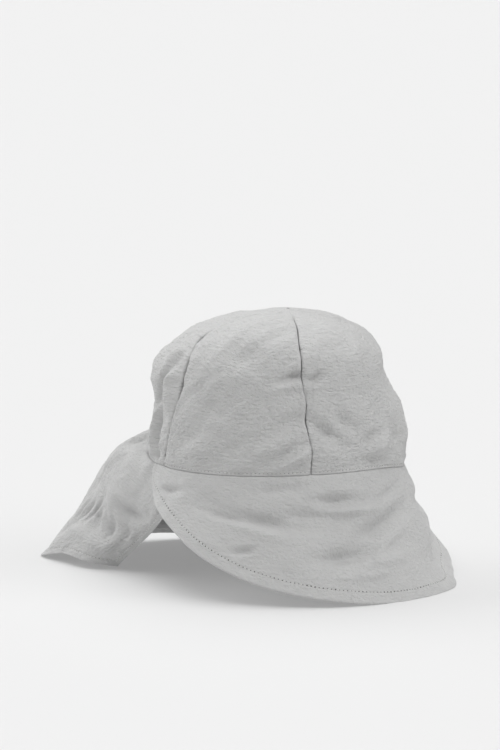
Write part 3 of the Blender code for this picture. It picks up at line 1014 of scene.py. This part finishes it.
def polyester_thread():
    """Matt spun thread in the cloth's own grey: its tint changes a little from stitch to stitch,
    and slanting ridges about a quarter of a millimetre apart give it its twist."""
    looks = {"Roughness": 0.6, "Sheen Weight": 0.2}
    material, tree, shader = new_material("polyester_thread", looks)
    place = {"Vector": add_node(tree, "ShaderNodeTexCoord").outputs["Object"]}
    patches = add_node(tree, "ShaderNodeTexNoise", values={"Scale": 400}, links=place)
    tinted(tree, shader, patches, ("#c6c6c5", "#e2e2e0"))
    slant = {"bands_direction": "DIAGONAL"}
    values = {"Scale": 1 / TWIST_PITCH / BANDS}
    twist = add_node(tree, "ShaderNodeTexWave", slant, values, place)
    tree.links.new(bumped(tree, twist, 0.4, RIDGE), shader.inputs["Normal"])
    return material


def painted_needle_shade():
    """Painted shade for a hole that the needle made, deeper in some holes than in others."""
    looks = {"Roughness": 1, "Specular IOR Level": 0}
    material, tree, shader = new_material("painted_needle_shade", looks)
    place = {"Vector": add_node(tree, "ShaderNodeTexCoord").outputs["Object"]}
    patches = add_node(tree, "ShaderNodeTexNoise", values={"Scale": 300}, links=place)
    # Two dark greys of painted shade, mixed at random from hole to hole
    tinted(tree, shader, patches, ("#3a3a39", "#7c7c79"))
    return material


def lit_table():
    """The white acrylic of a light table, lit from below as well as from above."""
    grey = (TABLE_GREY, TABLE_GREY, TABLE_GREY, 1)
    glow = {"Emission Color": (1, 1, 1, 1), "Emission Strength": TABLE_GLOW}
    looks = {"Base Color": grey, "Roughness": 1, "Specular IOR Level": 0, **glow}
    return new_material("lit_table", looks)[0]


def lay_floor():
    """The table, so wide that the picture holds no edge of it."""
    mesh = bpy.data.meshes.new("floor")
    square = ((-1, -1), (1, -1), (1, 1), (-1, 1))
    corners = [(TABLE_REACH * x, TABLE_REACH * y, 0) for x, y in square]
    mesh.from_pydata(corners, [], [(0, 1, 2, 3)])
    mesh.materials.append(lit_table())
    floor = bpy.data.objects.new("floor", mesh)
    bpy.context.scene.collection.objects.link(floor)


def softbox(name, aside, forward, above, strength, spread):
    """A broad light from a direction given by shares of the camera's right, its way back to the
    viewer and straight up. spread is its width in degrees."""
    a = radians(CAMERA_AZIMUTH)
    right = Vector((cos(a), sin(a), 0))
    back = Vector((sin(a), -cos(a), 0))
    towards = aside * right + forward * back + Vector((0, 0, above))
    lamp = bpy.data.lights.new(name, "SUN")
    lamp.energy = strength
    lamp.angle = radians(spread)
    light = bpy.data.objects.new(name, lamp)
    bpy.context.scene.collection.objects.link(light)
    light.rotation_euler = towards.to_track_quat("Z", "Y").to_euler()


def light_studio():
    """Two broad lights overhead, one towards the viewer and one behind, one high on the right, one
    low on the left and one behind on the left, and dim walls."""
    scene = bpy.context.scene
    scene.view_settings.view_transform = "Standard"
    world = bpy.data.worlds.new("studio_walls")
    scene.world = world
    world.use_nodes = True
    sky = world.node_tree.nodes["Background"]
    sky.inputs["Color"].default_value = (1, 1, 1, 1)
    sky.inputs["Strength"].default_value = 0.04
    softbox("front_overhead_softbox", 0.0, 0.5, 1.0, 1.08, 40)
    softbox("rear_overhead_softbox", 0.0, -0.6, 1.0, 1.29, 50)
    softbox("right_softbox", 1.0, 0.4, 0.8, 1.26, 60)
    softbox("left_softbox", -1.0, 0.4, 0.25, 0.56, 60)
    softbox("left_rear_softbox", -1.0, -0.5, 0.6, 1.29, 60)


def set_camera():
    """The camera looks at the hat's middle from its front right, turned so that the middle falls on
    its own pixel."""
    a, e = radians(CAMERA_AZIMUTH), radians(CAMERA_ELEVATION)
    focal = PIXELS_A_METRE * CAMERA_DISTANCE
    toward = Vector((sin(a) * cos(e), -cos(a) * cos(e), sin(e)))
    eye = Vector((0, 0, AIM_HEIGHT)) + toward * CAMERA_DISTANCE + Vector(HEAD_AXIS)
    az = a + atan((AIM_PIXEL[0] - PHOTO_PIXELS[0] / 2) / focal)
    el = e - atan((AIM_PIXEL[1] - PHOTO_PIXELS[1] / 2) / focal)
    back = Vector((sin(az) * cos(el), -cos(az) * cos(el), sin(el)))
    right = Vector((cos(az), sin(az), 0))
    up = back.cross(right)
    camera = bpy.data.cameras.new("camera")
    camera.sensor_fit = "HORIZONTAL"
    camera.lens = camera.sensor_width * focal / PHOTO_PIXELS[0]
    camera.clip_end = 100
    seen = bpy.data.objects.new("camera", camera)
    bpy.context.scene.collection.objects.link(seen)
    seen.matrix_world = Matrix((right, up, back)).transposed().to_4x4()
    seen.location = eye
    bpy.context.scene.camera = seen


def head_axis():
    """Where the hat's upright axis stands in the frame: what lies between the middle of the packed
    brim's box and that of the same brim worked out here."""
    low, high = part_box("brim")
    azimuth, down = np.meshgrid(np.linspace(-BRIM_END, BRIM_END, 55), np.linspace(0, 1, 10))
    points = brim_form(azimuth, down).reshape(-1, 3)
    middle = (points.min(axis=0) + points.max(axis=0)) / 2
    packed = (np.array(low) + np.array(high)) / 2
    return (packed - middle) * (1, 1, 0)


HEAD_AXIS = head_axis()
crown_nylon = crinkled_nylon("crinkled_nylon", 0.0018, ("#c4c4c4", "#cccccb"))
brim_nylon = crinkled_nylon("pressed_nylon", 0.0012, ("#bebebe", "#c7c7c6"))
sewing = [polyester_thread(), painted_needle_shade()]

half = FRONT_PANEL / 2
rear = half + SIDE_PANEL
PANELS = {
    "panel_front": (-half, half),
    "panel_right": (half, rear),
    "panel_rear_right": (rear, 180),
    "panel_rear_left": (180, 360 - rear),
    "panel_left": (-rear, -half),
}
# Each crown panel's cloth, and the rows of stitches on each piece, kept by node
sewn = {}
for index, (node, (first, last)) in enumerate(PANELS.items()):
    face = panel_cloth(first, last, 100 + 10 * index)
    columns = with_turnings(crowded(*PANEL_GRID[0]), TURNED_COLUMNS, TURNED_COLUMNS)
    rows = with_turnings(crowded(*PANEL_GRID[1]), 0, TURNED_ROWS)
    cloth_piece(node, face, columns, rows, CLOTH, crown_nylon)
    sewn[node] = [stitches(node + "_stitches", face, above_seam_line, SEAM_HOLE, sewing)]

columns = crowded(*BRIM_GRID[0])
rows = with_turnings(crowded(*BRIM_GRID[1]), TURNED_ROWS, 0)
cloth_piece("brim", brim_cloth, columns, rows, BRIM_CLOTH, brim_nylon)
columns = crowded(*FLAP_GRID[0])
rows = with_turnings(crowded(*FLAP_GRID[1]), TURNED_ROWS, 0)
cloth_piece("neck_flap", flap_cloth, columns, rows, CLOTH, brim_nylon)

sewn["brim"] = [stitches("brim_hem_stitches", brim_cloth, brim_hem_line, BRIM_HOLE, sewing)]
sewn["neck_flap"] = []
for part, line in (("hem", flap_hem_line), ("right", flap_right_line), ("left", flap_left_line)):
    row = stitches(f"neck_flap_{part}_stitches", flap_cloth, line, FLAP_HOLE, sewing)
    sewn["neck_flap"].append(row)

lay_floor()
light_studio()
set_camera()
